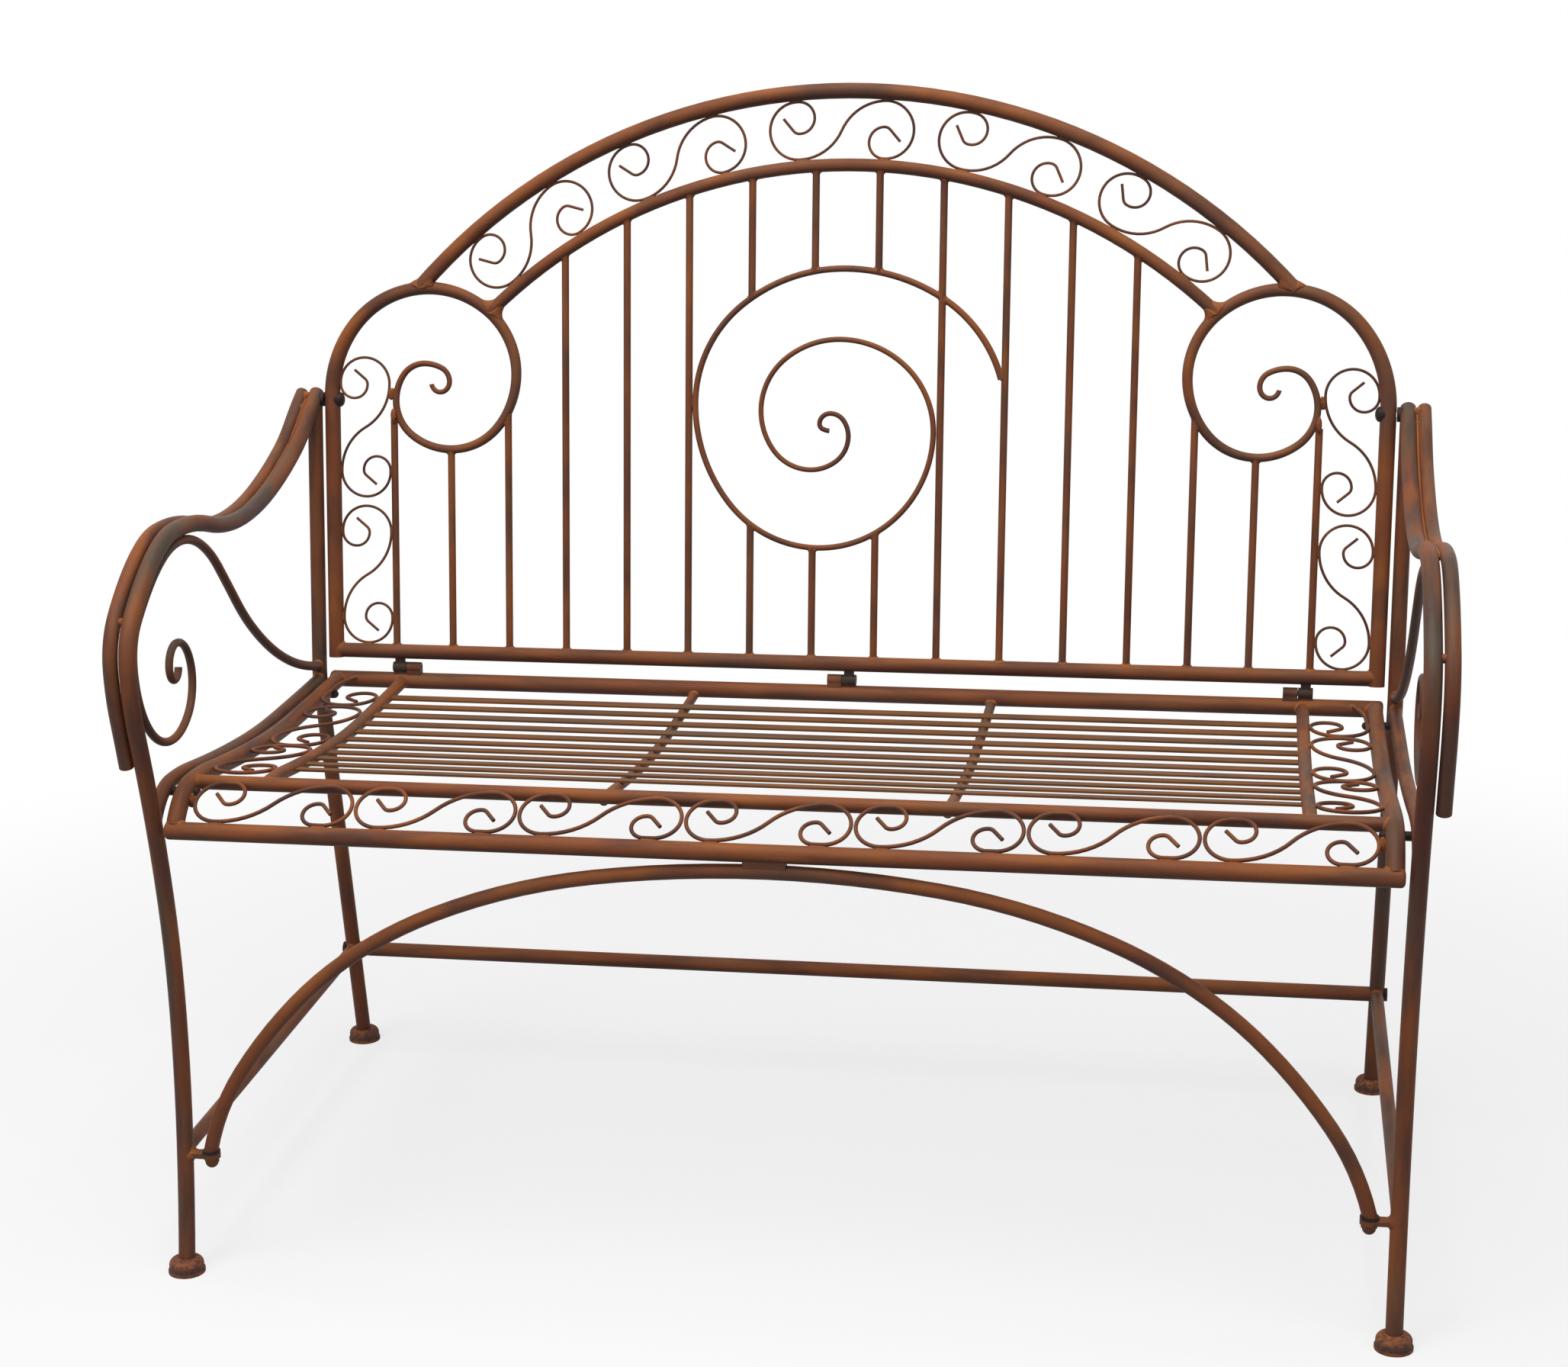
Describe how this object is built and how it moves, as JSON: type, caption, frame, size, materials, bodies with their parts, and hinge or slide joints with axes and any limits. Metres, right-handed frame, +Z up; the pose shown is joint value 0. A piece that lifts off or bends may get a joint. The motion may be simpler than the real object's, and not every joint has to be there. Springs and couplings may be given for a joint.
{
  "type": "garden bench",
  "caption": "Two-seat metal garden bench with scrolled arms, slatted seat, arched front brace and a hinged arched backrest with bars, volutes and a central spiral",
  "frame": {"origin": "centre of the bounding box at floor level", "axes": "+X to the viewer's right when facing the bench, +Y from front to back, +Z up; the seat faces -Y"},
  "size_m": [1.1548, 0.635, 1.047],
  "materials": {
    "rusted_steel": "matte mottled rust brown with dark grey patches",
    "dark_hardware": "satin near-black bolts, washers, spacers and hinges",
    "foot_caps": "matte dark rust brown"
  },
  "bodies": {
    "bench_frame": {"left_front_leg_arm": "rusted_steel", "left_outer_arm_tube": "rusted_steel", "left_rear_leg": "rusted_steel", "left_seat_support": "rusted_steel", "left_side_stretcher": "rusted_steel", "left_arm_scroll": "rusted_steel", "front_left_foot": "foot_caps", "rear_left_foot": "foot_caps", "left_arch_lug": "rusted_steel", "right_front_leg_arm": "rusted_steel", "right_outer_arm_tube": "rusted_steel", "right_rear_leg": "rusted_steel", "right_seat_support": "rusted_steel", "right_side_stretcher": "rusted_steel", "right_arm_scroll": "rusted_steel", "front_right_foot": "foot_caps", "rear_right_foot": "foot_caps", "right_arch_lug": "rusted_steel", "arm_spacers": "rusted_steel", "rear_stretcher": "rusted_steel", "stretcher_bolts": "dark_hardware", "seat_apron_rail": "rusted_steel", "seat_rear_rail": "rusted_steel", "left_seat_side_rail": "rusted_steel", "right_seat_side_rail": "rusted_steel", "seat_front_rail": "rusted_steel", "left_seat_inner_rail": "rusted_steel", "right_seat_inner_rail": "rusted_steel", "left_cross_bar": "rusted_steel", "right_cross_bar": "rusted_steel", "seat_slats": "rusted_steel", "seat_bolts": "dark_hardware", "seat_spacers": "dark_hardware", "front_arch": "rusted_steel", "arch_bolts": "dark_hardware", "arch_washers": "dark_hardware", "arch_nuts": "rusted_steel", "arch_pad": "rusted_steel", "apron_scrolls": "rusted_steel", "left_seat_scrolls": "rusted_steel", "right_seat_scrolls": "rusted_steel", "back_spacers": "dark_hardware", "hinge_seat_knuckles": "rusted_steel", "hinge_pins": "dark_hardware"},
    "backrest": {"left_back_upright": "rusted_steel", "right_back_upright": "rusted_steel", "back_bottom_rail": "rusted_steel", "back_outer_arch": "rusted_steel", "back_inner_arch": "rusted_steel", "centre_spiral": "rusted_steel", "arch_scrolls": "rusted_steel", "left_back_scrolls": "rusted_steel", "right_back_scrolls": "rusted_steel", "back_long_bars": "rusted_steel", "back_upper_bars": "rusted_steel", "back_lower_bars": "rusted_steel", "volute_bars": "rusted_steel", "hinge_back_knuckles": "dark_hardware", "back_bolts": "dark_hardware"}
  },
  "joints": [
    {"name": "backrest_fold", "type": "hinge", "parent": "bench_frame", "child": "backrest", "pos_m": [0, 0.22075, 0.4565], "axis": [1, 0, 0], "range_deg": [0, 80]}
  ]
}
